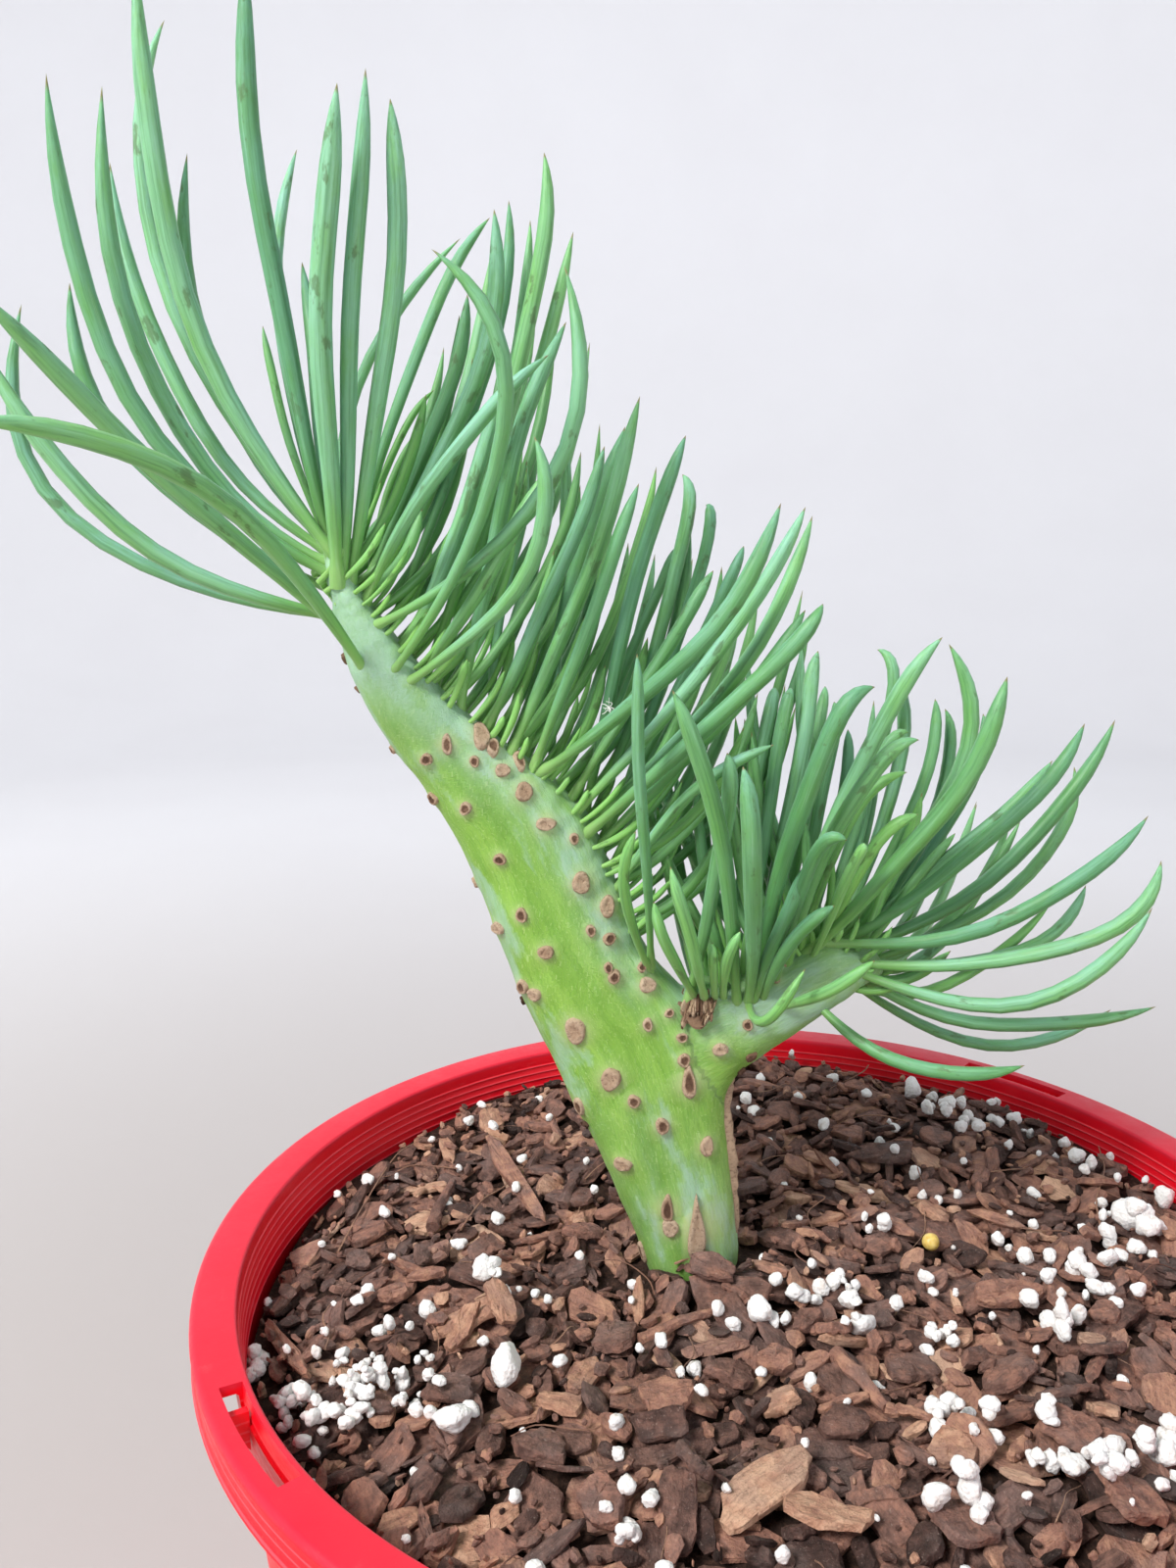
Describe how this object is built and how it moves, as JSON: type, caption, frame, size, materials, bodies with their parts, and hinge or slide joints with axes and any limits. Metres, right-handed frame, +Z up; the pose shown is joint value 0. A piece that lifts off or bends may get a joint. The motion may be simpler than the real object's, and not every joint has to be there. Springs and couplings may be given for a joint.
{
  "type": "potted crested senecio plant",
  "caption": "Crested succulent with a flattened, leaning stem, a side branch and upright pencil-shaped leaves, standing in bark potting mix in a round tapered pot.",
  "frame": {"origin": "centre of the underside of the pot's base, on the surface that the pot stands on", "axes": "+Z up; -Y towards the viewer, who sees the broad side of the stem; +X to the viewer's right, and the stem leans towards -X"},
  "size_m": [0.2278, 0.2, 0.3588],
  "materials": {
    "pot_plastic": "satin",
    "potting_mix": "matte",
    "plant_tissue": "matte"
  },
  "bodies": {
    "root": {"pot": "pot_plastic", "potting_mix": "potting_mix", "crested_senecio": "plant_tissue"}
  },
  "joints": []
}
